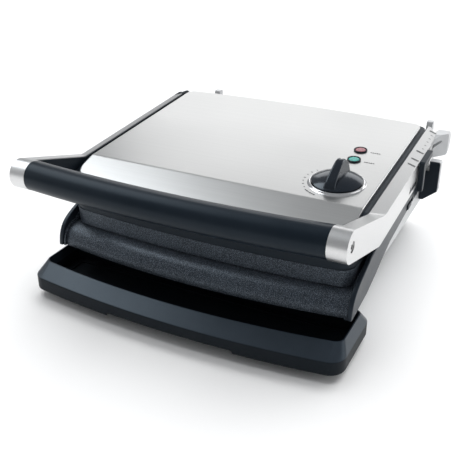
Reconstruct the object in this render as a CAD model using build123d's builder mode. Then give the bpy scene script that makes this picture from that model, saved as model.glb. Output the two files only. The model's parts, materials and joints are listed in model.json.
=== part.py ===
from build123d import *
import os
from math import cos, radians, sin, sqrt, tan

# Contact grill (panini press). Millimetres, +Z up, the front faces -Y and +X is the user's right hand.
# The origin is on the table, below the middle of the whole object.

# The cooking plane, called the deck here, leans down to the front. Its frame has its origin at the front
# end of the slit between the plates: "run" goes back along the deck, "rise" is square to it.
DECK_TILT = 3.6
DECK_FRONT_Y = -130.2
DECK_FRONT_Z = 66.4

# Plates and upper housing
PLATE_HALF = 166.2          # upper plate, half width
HOUSING_HALF = 165.6
LID_HALF = 161.0
FRONT_BOW = 9.0             # how far the upper half's front edge bows forward
REAR_BOW = 7.0
PLATE_SLIT = 1.0            # slit left between the two plates
PLATE_TOP = 20.0            # upper plate's top edge, above the deck
LID_TOP = 70.0
LID_SKIRT = 4.0             # turned-down edge of the lid
LID_SHEET = 1.2
LID_REAR = 267.6
CREASE_RUN = 38.9           # where the lid starts to slope down to the front
CREASE_DROP = 8.5
PLATE_REAR = 230.0
HOUSING_REAR = 270.6
WALL = 3.0

# Lower plate
PAN_REAR = 236.0
PAN_THICKNESS = 7.0
LIP_RADIUS = 19.6
LIP_THICKNESS = 4.0
LIP_DROP = 0.4
LIP_BOW = 13.3
LIP_HALF = 169.7
RAIL_INNER = 167.2
RAIL_HEIGHT = 9.0

# Arms and handle
ARM_INNER = 168.1
ARM_OUTER = 181.6
ARM_BOTTOM = 35.5
RIGHT_ARM_REAR = 275.0
LEFT_ARM_REAR = 276.0
LEFT_ARM_SPLIT = 257.0      # the left arm's dark rear end starts here
ARM_TOP_INNER = 67.9
ARM_TOP_OUTER = 63.6
ARM_RISE = 20.6             # slope of the arms' front part, against the deck
HANDLE_RUN = -57.0          # centre of the handle, in the deck's frame
HANDLE_RISE = 85.7
HANDLE_RADIUS = 15.5
HANDLE_DEPTH = 5.0          # how much deeper than round the handle's section is
GRIP_HALF = 163.0
GRIP_BOW = 8.0
BAR_RADIUS = 4.5

# Hinge of the arms, and the pivot that lets the upper half float between them
HINGE_RUN = 253.2
HINGE_RISE = 52.3
HINGE_PIN_RADIUS = 4.0
EAR_RADIUS = 10.0
EAR_INNER = 171.6
EAR_OUTER = 178.1
FLOAT_RUN = 222.0
FLOAT_RISE = 50.0
FLOAT_PIN_RADIUS = 4.0
RUNNING_GAP = 0.06

# Controls on the lid
KNOB_X = 119.0
KNOB_RUN = 81.0
KNOB_RADIUS = 26.7
BLADE_FOOT = 14.0
BLADE_CREST = 7.6
SHAFT_RADIUS = 3.0
DOT_RADIUS = 1.3
KNOB_FOOT = 71.0            # underside of the knob, above the deck
RING_INNER = 27.3
RING_OUTER = 30.7
LAMPS = {"red": (116.5, 167.1), "green": (117.6, 140.6)}
LENS_RADIUS = 6.3

# Plate latches: window in the cheek, starting at this run
LATCH_RUN = 165.0
LATCH_WINDOW = (28.0, 7.0)
LATCH_RISE = 8.6

# Base
CHEEK_INNER = 170.0
CHEEK_OUTER = 175.0
BASE_FLOOR = 12.0
BASE_FLOOR_HALF = 146.0
BASE_EDGE_Z = 67.0          # where the sides start to taper in towards the floor
BASE_FRONT = -98.0
BASE_REAR = 178.0
SHELL = 2.5
REAR_DECK = 6.0
FOOT_HEIGHT = 10.0
FOOT_RADIUS = 13.0
OBJECT_REAR = 215.8

# Drip tray
TRAY_HALF = 181.8
TRAY_FRONT = -195.7
TRAY_REAR = -106.8
TRAY_BOW = 14.4
TRAY_BOTTOM = 9.8
TRAY_EDGE_Z = 25.7
RIM_HALF = 175.7
RIM_FRONT = -178.6
RIM_REAR = -117.0
RIM_Z = 37.5
TRAY_FLOOR = 13.0
TRAY_WALL = 2.0
GUIDE_X = 118.0             # tongues on the back of the tray, and their guides in the base
GUIDE_WIDTH = 20.0
TONGUE_LOW = 15.0
TONGUE_HIGH = 18.0
TONGUE_REAR = -52.0

tilt = radians(DECK_TILT)
up_the_deck = (0, cos(tilt), sin(tilt))
deck_normal = (0, -sin(tilt), cos(tilt))
deck_origin = (0, DECK_FRONT_Y, DECK_FRONT_Z)
deck = Plane(origin=deck_origin, x_dir=(1, 0, 0), z_dir=deck_normal)
deck_side = Plane(origin=deck_origin, x_dir=up_the_deck, z_dir=(1, 0, 0))
os.makedirs("parts", exist_ok=True)


def deck_at(rise):
    """Plane parallel to the deck: sketch x is X, sketch y is the run."""
    return deck.offset(rise)


def side_at(x):
    """Upright plane along the deck's run: sketch x is the run, sketch y the rise."""
    return deck_side.offset(x)


def bow_axis(front, bow, half_width):
    """Axis square to the deck about which a front edge with this bow is an arc."""
    radius = (half_width**2 + bow**2) / (2 * bow)
    centre = deck.from_local_coords(Vector(0, front - bow + radius, 0))
    return Axis(centre, Vector(*deck_normal))


def bowed_outline(half_width, front, rear, front_bow, rear_bow=0.0):
    """Adds to the open sketch a rectangle whose front and rear edges bow outwards."""
    with BuildLine() as edge:
        ThreePointArc((-half_width, front), (0, front - front_bow), (half_width, front))
        Line((half_width, front), (half_width, rear))
        if rear_bow:
            ThreePointArc((half_width, rear), (0, rear + rear_bow), (-half_width, rear))
        else:
            Line((half_width, rear), (-half_width, rear))
        Line((-half_width, rear), (-half_width, front))
    make_face(edge.line)


def round_corners(sketch, front_radius, rear_radius):
    """Rounds the two front and the two rear corners of the sketch."""
    fillet(sketch.vertices().sort_by(Axis.Y)[:2], front_radius)
    fillet(sketch.vertices().sort_by(Axis.Y)[-2:], rear_radius)


def save(builder, name):
    """Labels a finished piece and writes it as one STEP file."""
    builder.part.label = name
    export_step(builder.part, f"parts/{name}.step")


# ---------------------------------------------------------------- lower plate, frame and base

lip_axis = bow_axis(0, LIP_BOW, LIP_HALF)


def lip_profile(lift):
    """Adds the section of the curved front lip, its top raised by lift, at the middle of its bow."""
    outer = LIP_RADIUS + lift
    inner = LIP_RADIUS - LIP_THICKNESS
    start = -LIP_BOW
    slant = sqrt(0.5)
    foot = -LIP_RADIUS - LIP_DROP
    with BuildLine() as edge:
        Polyline((start + 20, -LIP_THICKNESS), (start + 20, lift), (start, lift))
        ThreePointArc(
            (start, lift),
            (start - outer * slant, -LIP_RADIUS + outer * slant),
            (start - outer, -LIP_RADIUS),
        )
        Polyline((start - outer, -LIP_RADIUS), (start - outer, foot), (start - inner, foot),
                 (start - inner, -LIP_RADIUS))
        ThreePointArc(
            (start - inner, -LIP_RADIUS),
            (start - inner * slant, -LIP_RADIUS + inner * slant),
            (start, -LIP_THICKNESS),
        )
        Line((start, -LIP_THICKNESS), (start + 20, -LIP_THICKNESS))
    make_face(edge.line)


with BuildPart() as lip_flange:
    with BuildSketch(side_at(0)):
        lip_profile(2.5)
    revolve(axis=lip_axis, revolution_arc=12)
    with BuildSketch(deck_at(-60)):
        with Locations(((RAIL_INNER + LIP_HALF) / 2, 0)):
            Rectangle(LIP_HALF - RAIL_INNER, 200)
    extrude(amount=120, mode=Mode.INTERSECT)
    mirror(about=Plane.YZ)

with BuildPart() as lower_plate:
    with BuildSketch(side_at(0)):
        lip_profile(0)
    revolve(axis=lip_axis, revolution_arc=12)
    with BuildSketch(deck_at(-60)):
        Rectangle(2 * LIP_HALF, 200)
    extrude(amount=120, mode=Mode.INTERSECT)
    mirror(about=Plane.YZ)
    with BuildSketch(deck_at(-PAN_THICKNESS)):
        bowed_outline(LIP_HALF, 8, PAN_REAR, LIP_BOW)
    extrude(amount=PAN_THICKNESS)
    with BuildSketch(side_at(RAIL_INNER)):
        with BuildLine() as edge:
            Polyline((2, -PAN_THICKNESS), (2, 2.5), (16, RAIL_HEIGHT), (PAN_REAR, RAIL_HEIGHT),
                     (PAN_REAR, -PAN_THICKNESS), close=True)
        make_face(edge.line)
    extrude(amount=LIP_HALF - RAIL_INNER)
    mirror(about=Plane.YZ)
    with BuildSketch(deck_at(0)):
        with Locations((0, PAN_REAR - 1.5)):
            Rectangle(2 * LIP_HALF, 3)
    extrude(amount=RAIL_HEIGHT)
    add(lip_flange.part)
    # notches in the rails that let the latches' hooks pass
    with BuildSketch(side_at(0)):
        with Locations((LATCH_RUN + 18.5, RAIL_HEIGHT)):
            Rectangle(11, 7)
    extrude(amount=LIP_HALF + 1, both=True, mode=Mode.SUBTRACT)
save(lower_plate, "lower_plate")

# Edge between the dark cheeks and the light shell, and the cheeks' free upper edge, as run and rise
CHEEK_TIP = (-24.0, -19.0)
CHEEK_FOOT = (-18.5, -19.5)
SHELL_LINE = [(24.4, -17.0), (53.8, -10.8), (73.0, -5.0), (101.6, 1.2), (181.9, 5.2), (233.0, REAR_DECK)]
CHEEK_EDGE = [(-16.0, 1.6), (3.2, 12.4), (26.6, 19.0), (45.8, 21.8)]
CHEEK_TOP_REAR = (233.0, 24.0)

with BuildPart() as base_bezel:
    with BuildSketch(side_at(CHEEK_INNER)):
        with BuildLine() as edge:
            Polyline(CHEEK_TIP, CHEEK_FOOT, *SHELL_LINE, CHEEK_TOP_REAR, CHEEK_EDGE[-1])
            Spline(CHEEK_TIP, *CHEEK_EDGE, tangents=((0.12, 1), (1, 0.03)))
        make_face(edge.line)
    extrude(amount=CHEEK_OUTER - CHEEK_INNER)
    fillet(base_bezel.edges().filter_by(GeomType.BSPLINE), 1.2)
    with BuildSketch(side_at(CHEEK_INNER)):
        with Locations((LATCH_RUN + LATCH_WINDOW[0] / 2, LATCH_RISE)):
            RectangleRounded(*LATCH_WINDOW, 1.5)
    extrude(amount=CHEEK_OUTER - CHEEK_INNER, mode=Mode.SUBTRACT)
    with BuildSketch(side_at(CHEEK_INNER)):
        with Locations((LATCH_RUN + LATCH_WINDOW[0] / 2, LATCH_RISE)):
            Rectangle(LATCH_WINDOW[0] + 6, LATCH_WINDOW[1] + 3)
    extrude(amount=2, mode=Mode.SUBTRACT)
    # ledge that carries the pan, tied to the cheek at its front
    with BuildSketch(side_at(CHEEK_INNER - 7)):
        with Locations(((20 + PAN_REAR) / 2, -PAN_THICKNESS - 2.2)):
            Rectangle(PAN_REAR - 20, 4)
    extrude(amount=4.9)
    with BuildSketch(side_at(CHEEK_INNER - 7)):
        with Locations((34, -PAN_THICKNESS - 2.2)):
            Rectangle(28, 4)
    extrude(amount=7)
    mirror(about=Plane.YZ)
    # rear wall behind the pan, and the cover that closes the base behind it
    with BuildSketch(side_at(0)):
        with BuildLine() as edge:
            Polyline((PAN_REAR + 0.5, -20), (PAN_REAR + 0.5, REAR_DECK), (308.5, REAR_DECK),
                     (308.5, REAR_DECK - 3),
                     (PAN_REAR + 3.5, REAR_DECK - 3), (PAN_REAR + 3.5, -20), close=True)
        make_face(edge.line)
    extrude(amount=CHEEK_INNER - 2, both=True)
    with BuildSketch(deck_at(-11.2)):
        with Locations((0, PAN_REAR - 2)):
            Rectangle(2 * CHEEK_INNER - 10, 6)
    extrude(amount=4)
save(base_bezel, "base_bezel")


def base_section(inset):
    """Adds the base's cross-section: upright sides that taper in towards the floor."""
    half = CHEEK_OUTER - inset
    floor_half = BASE_FLOOR_HALF - inset
    with BuildLine() as edge:
        Polyline((-floor_half, BASE_FLOOR), (floor_half, BASE_FLOOR), (half, BASE_EDGE_Z), (half, 120),
                 (-half, 120), (-half, BASE_EDGE_Z), close=True)
    make_face(edge.line)


with BuildPart() as base_shell:
    with BuildSketch(Plane.XZ.offset(-BASE_REAR)):
        base_section(0)
    extrude(amount=BASE_REAR - BASE_FRONT)
    with BuildSketch(side_at(0)):
        with BuildLine() as edge:
            Polyline((20, -70), (28, -19), (53.8, -10.8), *SHELL_LINE[2:], (340, REAR_DECK), (340, -90),
                     close=True)
        make_face(edge.line)
    extrude(amount=200, both=True, mode=Mode.INTERSECT)
    with BuildSketch(Plane.XZ.offset(-BASE_REAR + SHELL)):
        base_section(SHELL)
    extrude(amount=BASE_REAR - BASE_FRONT - 2 * SHELL, mode=Mode.SUBTRACT)
    # room for the rear cover, the pan and its ledges
    with BuildSketch(side_at(0)):
        with BuildLine() as edge:
            Polyline((0, -14), (236, -14), (236, REAR_DECK - 3), (311, REAR_DECK - 3), (311, 60), (0, 60),
                     close=True)
        make_face(edge.line)
    extrude(amount=CHEEK_INNER - 2, both=True, mode=Mode.SUBTRACT)
    # slots for the tray's tongues
    with BuildSketch(Plane.XZ.offset(-BASE_FRONT - SHELL - 1)):
        with Locations((0, (TONGUE_LOW + TONGUE_HIGH) / 2)):
            with GridLocations(2 * GUIDE_X, 0, 2, 1):
                Rectangle(GUIDE_WIDTH + 1, TONGUE_HIGH - TONGUE_LOW + 1)
    extrude(amount=SHELL + 3, mode=Mode.SUBTRACT)
save(base_shell, "base_shell")

with BuildPart() as bottom_cover:
    with BuildSketch(Plane.XY.offset(FOOT_HEIGHT)):
        with Locations((0, (BASE_FRONT + BASE_REAR) / 2)):
            RectangleRounded(2 * BASE_FLOOR_HALF - 4, BASE_REAR - BASE_FRONT - 4, 8)
    extrude(amount=BASE_FLOOR - FOOT_HEIGHT)
    with Locations((0, 20, BASE_FLOOR)):
        with GridLocations(20, 0, 9, 1):
            Box(6, 60, 10, mode=Mode.SUBTRACT)
save(bottom_cover, "bottom_cover")

FOOT_PLACES = [(x, y) for x in (-122, 122) for y in (-78, 156)]
with BuildPart() as feet:
    with BuildSketch(Plane.XY):
        with Locations(*FOOT_PLACES):
            Circle(FOOT_RADIUS)
    extrude(amount=FOOT_HEIGHT)
    chamfer(feet.faces().filter_by(Axis.Z).group_by(Axis.Z)[0].edges(), 1.5)
save(feet, "feet")

with BuildPart() as bottom_screws:
    with BuildSketch(Plane.XY.offset(FOOT_HEIGHT - 1.8)):
        with Locations(*[(x, y) for x in (-132, 132) for y in (-50, 40, 128)]):
            Circle(3.5)
    extrude(amount=1.8)
    with BuildSketch(Plane.XY.offset(FOOT_HEIGHT - 1.8)):
        with Locations(*[(x, y) for x in (-132, 132) for y in (-50, 40, 128)]):
            Rectangle(4.6, 0.9)
            Rectangle(0.9, 4.6)
    extrude(amount=1.0, mode=Mode.SUBTRACT)
save(bottom_screws, "bottom_screws")


def element_loop(rise, width, front, rear, radius):
    """Adds a sheathed heating element: one long U of round tube, its two ends at the rear."""
    half = width / 2
    bend = 30.0
    with BuildLine(deck_at(rise)) as path:
        FilletPolyline((half, rear), (half, front), (-half, front), (-half, rear), radius=bend)
    with BuildSketch(Plane(origin=path.line @ 0, z_dir=path.line % 0)) as tube:
        Circle(radius)
    sweep(tube.sketch, path=path.line)


with BuildPart() as lower_element:
    element_loop(-PAN_THICKNESS - 4.2, 250, 40, 225, 3.8)
save(lower_element, "lower_element")

with BuildPart() as lower_reflector:
    with BuildSketch(deck_at(-24)):
        with Locations((0, 130)):
            RectangleRounded(300, 190, 8)
    extrude(amount=1)
    with BuildSketch(deck_at(-23)):
        with Locations((0, 130)):
            RectangleRounded(300, 190, 8)
            RectangleRounded(298, 188, 7, mode=Mode.SUBTRACT)
    extrude(amount=6)
save(lower_reflector, "lower_reflector")

with BuildPart() as terminal_block:
    with BuildSketch(Plane.XY.offset(BASE_FLOOR)):
        with Locations((-70, 140)):
            Rectangle(42, 22)
    extrude(amount=16)
    with BuildSketch(Plane.XY.offset(BASE_FLOOR + 16)):
        with Locations((-70, 140)):
            with GridLocations(13, 0, 3, 1):
                Circle(2.6)
    extrude(amount=-5, mode=Mode.SUBTRACT)
save(terminal_block, "terminal_block")

with BuildPart() as thermal_fuse:
    with BuildSketch(side_at(-60)):
        with Locations((120, -PAN_THICKNESS - 3.1)):
            Circle(3.0)
    extrude(amount=22)
    with BuildSketch(side_at(-72)):
        with Locations((120, -PAN_THICKNESS - 3.1)):
            Circle(0.8)
    extrude(amount=46)
save(thermal_fuse, "thermal_fuse")

with BuildPart() as cord_gland:
    with BuildSketch(Plane.XZ.offset(-BASE_REAR)):
        with Locations((-70, 45)):
            Circle(11)
    extrude(amount=-3)
    with BuildSketch(Plane.XZ.offset(-BASE_REAR)):
        with Locations((-70, 45)):
            Circle(7.5)
    extrude(amount=-12, taper=6)
    with BuildSketch(Plane.XZ.offset(-BASE_REAR)):
        with Locations((-70, 45)):
            Circle(3.6)
    extrude(amount=-12, mode=Mode.SUBTRACT)
save(cord_gland, "cord_gland")

# ---------------------------------------------------------------- hinge brackets, rest towers, rear posts

TOWER_FRONT = 91.5
TOWER_REAR = 103.2
TOWER_PAD = 2.0
TOWER_OUTER = 196.0
TOWER_TOP = 124.0
TOWER_STEP = 112.0          # the tower is lower where it passes under the arm
TOWER_STEP_X = 183.2


def tower_outline(side, inset):
    """Adds a rest tower's front view: a block with a bevelled lower corner, stepped to clear the arm."""
    outer = TOWER_OUTER - inset
    top = TOWER_TOP - inset
    step_top = TOWER_STEP - inset
    low = 74.0 + inset
    points = [(CHEEK_OUTER + inset, low), (180, low), (outer, 87 + inset), (outer, top),
              (TOWER_STEP_X + inset, top), (TOWER_STEP_X + inset, step_top), (CHEEK_OUTER + inset, step_top)]
    with BuildLine() as edge:
        Polyline(*[(side * x, z) for x, z in points], close=True)
    make_face(edge.line)


def make_tower(side):
    """Light outer block of a rest tower."""
    with BuildPart() as tower:
        with BuildSketch(Plane.XZ.offset(-TOWER_FRONT - TOWER_PAD)) as front:
            tower_outline(side, 0)
            fillet(front.vertices().sort_by(Axis.X if side < 0 else -Axis.X)[:2], 2.5)
        extrude(amount=-(TOWER_REAR - TOWER_FRONT - TOWER_PAD))
    return tower


def make_tower_pad(side):
    """Black face that the height clip meets."""
    with BuildPart() as pad:
        with BuildSketch(Plane.XZ.offset(-TOWER_FRONT)) as front:
            tower_outline(side, 0.6)
            fillet(front.vertices().sort_by(Axis.X if side < 0 else -Axis.X)[:2], 2.0)
        extrude(amount=-TOWER_PAD)
    return pad


def make_bracket(side):
    """Hinge bracket: a block on the base with an ear that stands in the arm's fork."""
    thickness = side * (EAR_OUTER - EAR_INNER)
    with BuildPart() as bracket:
        with BuildSketch(side_at(side * EAR_INNER)):
            with Locations((HINGE_RUN, HINGE_RISE)):
                Circle(EAR_RADIUS)
            with BuildLine() as edge:
                Polyline((HINGE_RUN - EAR_RADIUS, HINGE_RISE), (HINGE_RUN + EAR_RADIUS, HINGE_RISE),
                         (HINGE_RUN + EAR_RADIUS, 15), (HINGE_RUN - EAR_RADIUS, 15), close=True)
            make_face(edge.line)
            with Locations((HINGE_RUN, HINGE_RISE)):
                Circle(HINGE_PIN_RADIUS, mode=Mode.SUBTRACT)
        extrude(amount=thickness)
        with BuildSketch(side_at(side * CHEEK_INNER)):
            with BuildLine() as edge:
                Polyline((239, REAR_DECK), (239, 18), (243, 22), (264, 22), (269, 17), (269, REAR_DECK),
                         close=True)
            make_face(edge.line)
        extrude(amount=side * 12)
    return bracket


with BuildPart() as hinge_pins:
    for side in (-1, 1):
        with BuildSketch(side_at(side * (ARM_INNER + 1.0))):
            with Locations((HINGE_RUN, HINGE_RISE)):
                Circle(HINGE_PIN_RADIUS)
        extrude(amount=side * 11.5)
save(hinge_pins, "hinge_pins")

for side, name in ((1, "right"), (-1, "left")):
    save(make_tower(side), f"{name}_rest_tower")
    save(make_tower_pad(side), f"{name}_tower_pad")
    save(make_bracket(side), f"{name}_hinge_bracket")

POST_X = 156.0
POST_WIDTH = 8.0
POST_TOP = 134.0
PAD_DEPTH = 3.0
with BuildPart() as rear_posts:
    for side in (-1, 1):
        with BuildSketch(Plane.YZ.offset(side * POST_X)) as outline:
            with BuildLine() as edge:
                Polyline((BASE_REAR, 40), (OBJECT_REAR - 12, 34), (OBJECT_REAR - PAD_DEPTH, 34),
                         (OBJECT_REAR - PAD_DEPTH, POST_TOP), (OBJECT_REAR - 12, POST_TOP),
                         (OBJECT_REAR - 20, 96), (BASE_REAR, 82), close=True)
            make_face(edge.line)
            fillet(outline.vertices().sort_by(Axis.Y)[2:], 2.0)
        extrude(amount=POST_WIDTH / 2, both=True)
save(rear_posts, "rear_posts")

with BuildPart() as post_pads:
    for side in (-1, 1):
        for height in (52, 108):
            with BuildSketch(Plane.XZ.offset(-OBJECT_REAR)):
                with Locations((side * POST_X, height)):
                    RectangleRounded(POST_WIDTH - 1, 28, 2.5)
            extrude(amount=PAD_DEPTH)
save(post_pads, "post_pads")

# ---------------------------------------------------------------- arms and handle

rise_angle = radians(ARM_RISE)
along_arm = (-cos(rise_angle), sin(rise_angle))
across_arm = (sin(rise_angle), cos(rise_angle))


def on_handle(distance, direction):
    """Point at a distance from the handle's centre, in the deck's frame."""
    return (HANDLE_RUN + distance * direction[0], HANDLE_RISE + distance * direction[1])


def kink(point, level):
    """Where the arm's front part, running back from the point, meets the level part."""
    return (point[0] + (point[1] - level) / tan(rise_angle), level)


def arm_outline(sketch, top, rear):
    """Adds an arm's side view whose level part has the given top: a round front end and one kink."""
    front_top = on_handle(HANDLE_RADIUS, across_arm)
    front_low = on_handle(-HANDLE_RADIUS, across_arm)
    with BuildLine() as edge:
        Polyline(front_top, kink(front_top, top), (rear, top), (rear, ARM_BOTTOM),
                 kink(front_low, ARM_BOTTOM),
                 front_low)
        ThreePointArc(front_low, on_handle(HANDLE_RADIUS, along_arm), front_top)
    make_face(edge.line)
    corners = [(kink(front_top, top), 16), (kink(front_low, ARM_BOTTOM), 22), ((rear, top), 6),
               ((rear, ARM_BOTTOM), 14)]
    for corner, radius in corners:
        fillet(sketch.vertices().sort_by_distance(Vector(*corner, 0))[0], radius)


def handle_section(run_shift=0.0, shrink=0.0):
    """Adds the handle's section, a round a little deeper than it is high."""
    centre = on_handle(-HANDLE_DEPTH / 2, along_arm)
    with Locations((centre[0] + run_shift, centre[1])):
        SlotCenterToCenter(HANDLE_DEPTH, 2 * (HANDLE_RADIUS - shrink), rotation=-ARM_RISE)


def cut_fork(side):
    """Cuts the slot for the bracket's ear out of an arm's rear end, and the pin's bore."""
    gap = 0.45
    sweep_room = EAR_RADIUS + 0.8
    with BuildSketch(side_at(side * (EAR_INNER - gap))) as slot:
        with Locations((HINGE_RUN, HINGE_RISE)):
            Circle(sweep_room)
        with BuildLine() as edge:
            Polyline((HINGE_RUN - sweep_room, HINGE_RISE), (HINGE_RUN - sweep_room, 0), (HINGE_RUN + 60, 0),
                     (HINGE_RUN + 60, HINGE_RISE + sweep_room + 13), (HINGE_RUN, HINGE_RISE + sweep_room),
                     close=True)
        make_face(edge.line)
    extrude(slot.sketch, amount=side * (EAR_OUTER - EAR_INNER + 2 * gap), mode=Mode.SUBTRACT)
    with BuildSketch(side_at(side * ARM_INNER)) as bore:
        with Locations((HINGE_RUN, HINGE_RISE)):
            Circle(HINGE_PIN_RADIUS + RUNNING_GAP)
    extrude(bore.sketch, amount=side * 13.0, mode=Mode.SUBTRACT)


GROOVE_LOW = 57.6           # groove in the right arm that the height clip's tongue slides in
GROOVE_HIGH = 61.2
GROOVE_ENDS = (173.5, 224.0)
RACK_RUNS = (141.0, 174.0)  # toothed strip below the clip
RACK_LOW = 39.5
RACK_TOOTH = 6.6


def rack_outline():
    """Adds the toothed strip's side view."""
    front, rear = RACK_RUNS
    points = [(rear, RACK_LOW), (front, RACK_LOW)]
    for tooth in range(round((rear - front) / RACK_TOOTH)):
        foot = front + tooth * RACK_TOOTH
        points += [(foot, 43.0), (foot + RACK_TOOTH * 0.75, 48.5)]
    with BuildLine() as edge:
        Polyline(*points, (rear, 43.0), close=True)
    make_face(edge.line)


def latch_slot(low_x, depth):
    """Cuts the slanted slot beside the hinge from this X outwards."""
    with BuildSketch(side_at(low_x)) as slot:
        with Locations((240.5, 53.0)):
            SlotOverall(26, 3.4, rotation=33)
    extrude(slot.sketch, amount=depth, mode=Mode.SUBTRACT)


def arm_blank(side, rear):
    """Adds an arm's bar, lofted from its high inner face to its lower outer face."""
    with BuildSketch(side_at(side * ARM_INNER)) as inner_face:
        arm_outline(inner_face, ARM_TOP_INNER, rear)
    with BuildSketch(side_at(side * ARM_OUTER)) as outer_face:
        arm_outline(outer_face, ARM_TOP_OUTER, rear)
    loft([inner_face.sketch, outer_face.sketch], ruled=True)


def make_arm(side, rear):
    """Cast arm with its handle cap, cut for the hinge and the float pin."""
    with BuildPart() as arm:
        arm_blank(side, rear)
        with BuildSketch(side_at(side * GRIP_HALF)):
            handle_section()
        extrude(amount=side * (ARM_OUTER - GRIP_HALF))
        cut_fork(side)
        with BuildSketch(side_at(side * ARM_INNER)):
            with Locations((FLOAT_RUN, FLOAT_RISE)):
                Circle(FLOAT_PIN_RADIUS)
        extrude(amount=side * 4, mode=Mode.SUBTRACT)
        with BuildSketch(side_at(side * GRIP_HALF)):
            with Locations((HANDLE_RUN, HANDLE_RISE)):
                Circle(BAR_RADIUS)
        extrude(amount=side * 10, mode=Mode.SUBTRACT)
        with BuildSketch(side_at(side * ARM_OUTER)):
            with Locations((HANDLE_RUN, HANDLE_RISE)):
                Circle(5.4)
        extrude(amount=-side * 3.2, mode=Mode.SUBTRACT)
        with BuildSketch(side_at(side * ARM_OUTER)):
            with Locations((HANDLE_RUN, HANDLE_RISE)):
                Circle(2.5)
        extrude(amount=-side * 12, mode=Mode.SUBTRACT)
        if side > 0:
            with BuildSketch(side_at(ARM_OUTER + 1)):
                with Locations((sum(GROOVE_ENDS) / 2, (GROOVE_LOW + GROOVE_HIGH) / 2)):
                    Rectangle(GROOVE_ENDS[1] - GROOVE_ENDS[0], GROOVE_HIGH - GROOVE_LOW)
            extrude(amount=-3.6, mode=Mode.SUBTRACT)
            with BuildSketch(side_at(ARM_OUTER + 1)):
                rack_outline()
            extrude(amount=-2.2, mode=Mode.SUBTRACT)
            latch_slot(ARM_OUTER - 2, 4)
        else:
            split(bisect_by=Plane(deck.from_local_coords(Vector(0, LEFT_ARM_SPLIT, 0)), z_dir=up_the_deck),
                  keep=Keep.BOTTOM)
    return arm


save(make_arm(1, RIGHT_ARM_REAR), "right_arm")
save(make_arm(-1, LEFT_ARM_REAR), "left_arm")

with BuildPart() as clip_rack:
    with BuildSketch(side_at(ARM_OUTER - 1.2)):
        rack_outline()
    extrude(amount=0.8)
save(clip_rack, "clip_rack")

with BuildPart() as left_hinge_cover:
    arm_blank(-1, LEFT_ARM_REAR)
    cut_fork(-1)
    split(bisect_by=Plane(deck.from_local_coords(Vector(0, LEFT_ARM_SPLIT, 0)), z_dir=up_the_deck),
          keep=Keep.TOP)
save(left_hinge_cover, "left_hinge_cover")

COVER_OUTER = 195.6
COVER_FRONT = 243.0         # where the cover starts to flare out of the arm's side
COVER_FLARE = 15.0
COVER_REAR = 273.5
COVER_LOW = 40.5

with BuildPart() as right_hinge_cover:
    with BuildSketch(side_at(ARM_OUTER)) as outline:
        with BuildLine() as edge:
            Polyline((COVER_FRONT, COVER_LOW), (COVER_REAR, COVER_LOW), (COVER_REAR, ARM_TOP_INNER - 0.2),
                     (COVER_FRONT + 7, ARM_TOP_INNER - 0.2), (COVER_FRONT, ARM_TOP_OUTER), close=True)
        make_face(edge.line)
        fillet(outline.vertices().sort_by_distance(Vector(COVER_REAR, COVER_LOW, 0))[0], 14)
        fillet(outline.vertices().sort_by_distance(Vector(COVER_REAR, ARM_TOP_INNER, 0))[0], 9)
    extrude(amount=COVER_OUTER - ARM_OUTER)
    fillet(right_hinge_cover.faces().sort_by(Axis.X)[-1].edges(), 2.5)
    with BuildSketch(deck_at(30)):
        with BuildLine() as edge:
            Polyline((ARM_OUTER, COVER_FRONT), (COVER_OUTER, COVER_FRONT + COVER_FLARE), (COVER_OUTER, 280),
                     (ARM_OUTER, 280), close=True)
        make_face(edge.line)
    extrude(amount=60, mode=Mode.INTERSECT)
    latch_slot(ARM_OUTER - 1, 20)
save(right_hinge_cover, "right_hinge_cover")

for side, rear, name in ((1, RIGHT_ARM_REAR, "right"), (-1, LEFT_ARM_REAR, "left")):
    with BuildPart() as liner:
        with BuildSketch(side_at(side * (ARM_INNER - 1.5))) as outline:
            arm_outline(outline, ARM_TOP_INNER, rear)
            offset(amount=-0.7, mode=Mode.REPLACE)
            with Locations((FLOAT_RUN, FLOAT_RISE)):
                Circle(FLOAT_PIN_RADIUS, mode=Mode.SUBTRACT)
        extrude(amount=side * 1.5)
        with BuildSketch(side_at(side * (ARM_INNER - 2))):
            handle_section(0, -0.2)
        extrude(amount=side * 3, mode=Mode.SUBTRACT)
    save(liner, f"{name}_arm_liner")

with BuildPart() as grip:
    with BuildSketch(side_at(0)):
        handle_section(-GRIP_BOW, 0.25)
    revolve(axis=bow_axis(HANDLE_RUN, GRIP_BOW, GRIP_HALF), revolution_arc=6.5)
    with BuildSketch(deck_at(0)):
        with Locations((0, HANDLE_RUN)):
            Rectangle(2 * GRIP_HALF, 120)
    extrude(amount=150, mode=Mode.INTERSECT)
    mirror(about=Plane.YZ)
    with BuildSketch(side_at(0)):
        with Locations((HANDLE_RUN, HANDLE_RISE)):
            Circle(BAR_RADIUS)
    extrude(amount=GRIP_HALF, both=True, mode=Mode.SUBTRACT)
save(grip, "grip")

with BuildPart() as handle_bar:
    with BuildSketch(side_at(0)):
        with Locations((HANDLE_RUN, HANDLE_RISE)):
            Circle(BAR_RADIUS)
            Circle(2.5, mode=Mode.SUBTRACT)
    extrude(amount=GRIP_HALF + 10, both=True)
save(handle_bar, "handle_bar")

with BuildPart() as handle_screws:
    for side in (-1, 1):
        with BuildSketch(side_at(side * (ARM_OUTER - 3.2))):
            with Locations((HANDLE_RUN, HANDLE_RISE)):
                Circle(4.9)
        extrude(amount=side * 2.4)
        with BuildSketch(side_at(side * (ARM_OUTER - 3.2))):
            with Locations((HANDLE_RUN, HANDLE_RISE)):
                Circle(2.4)
        extrude(amount=-side * 12)
        with BuildSketch(side_at(side * (ARM_OUTER - 0.8))):
            with Locations((HANDLE_RUN, HANDLE_RISE)):
                RegularPolygon(2.6, 6)
        extrude(amount=-side * 1.8, mode=Mode.SUBTRACT)
save(handle_screws, "handle_screws")

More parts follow.
